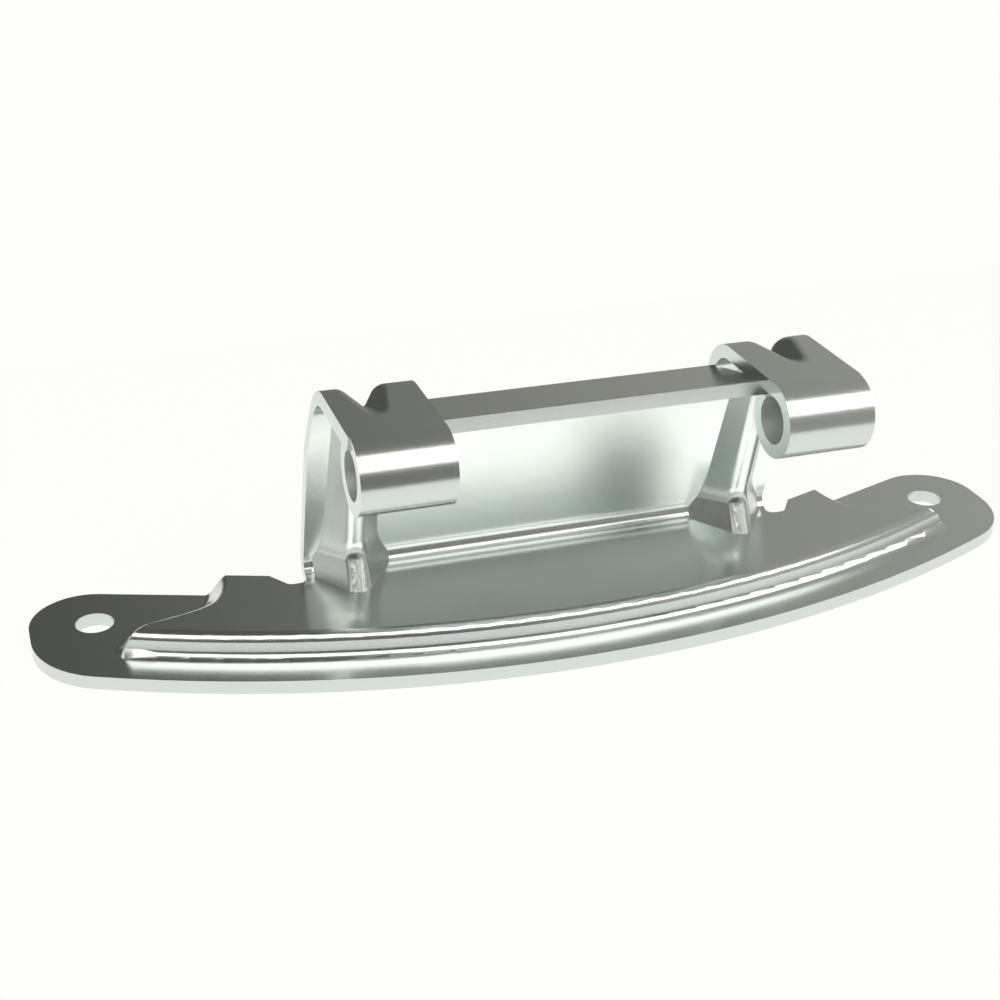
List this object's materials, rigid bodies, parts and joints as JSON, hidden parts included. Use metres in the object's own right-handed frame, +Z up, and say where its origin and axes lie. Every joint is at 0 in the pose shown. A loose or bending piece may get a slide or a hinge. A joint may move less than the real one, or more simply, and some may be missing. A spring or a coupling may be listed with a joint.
{
  "type": "washing machine door hinge",
  "caption": "Crescent flange with screw ears and a raised plateau, a ribbed upright panel and rolled eyes that carry a washing machine door on a pin.",
  "frame": {"origin": "midway between the two screw holes, on the underside of the flange", "axes": "+X along the leaf from ear to ear and along the eyes, -Y towards the convex front edge, +Z up from the flange to the eyes"},
  "size_m": [0.1702, 0.0461, 0.0429],
  "materials": {
    "hinge_leaf": "bright zinc plated pressed steel with a fine grain"
  },
  "bodies": {
    "root": {"hinge_leaf": "hinge_leaf"}
  },
  "joints": []
}
